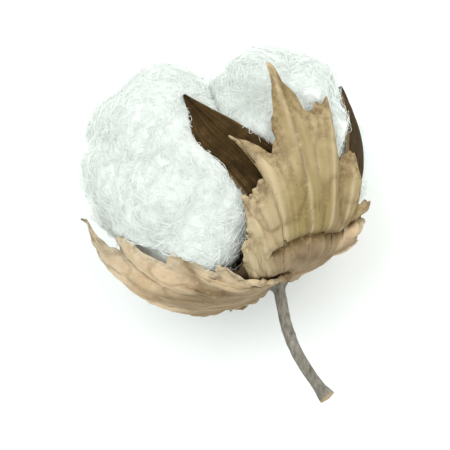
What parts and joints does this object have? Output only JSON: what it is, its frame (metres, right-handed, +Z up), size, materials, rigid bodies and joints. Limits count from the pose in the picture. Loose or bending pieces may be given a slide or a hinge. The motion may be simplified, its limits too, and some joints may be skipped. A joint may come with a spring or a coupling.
{
  "type": "cotton boll",
  "caption": "Open dry cotton boll lying on its side: white lint locks in a split brown burr, with a small calyx, toothed papery bracts and a short curved stalk.",
  "frame": {"origin": "middle of the underside of the box round the boll, on the table it lies on", "axes": "+Z up from the table, +Y away from the stalk on the table, +X to the right with the tip leaning left"},
  "size_m": [0.0509, 0.0628, 0.0483],
  "materials": {
    "stalk": "dry, ridged bark",
    "calyx": "dry, papery, dotted",
    "burr": "dry, streaked, matt",
    "bract": "dry, papery, veined",
    "lint": "soft loose fibre"
  },
  "bodies": {
    "root": {"stalk": "stalk", "calyx": "calyx", "burr": "burr", "bract_front": "bract", "bract_left": "bract", "bract_right": "bract", "lock_left": "lint", "lock_front": "lint", "lock_right": "lint", "lock_back": "lint"}
  },
  "joints": []
}
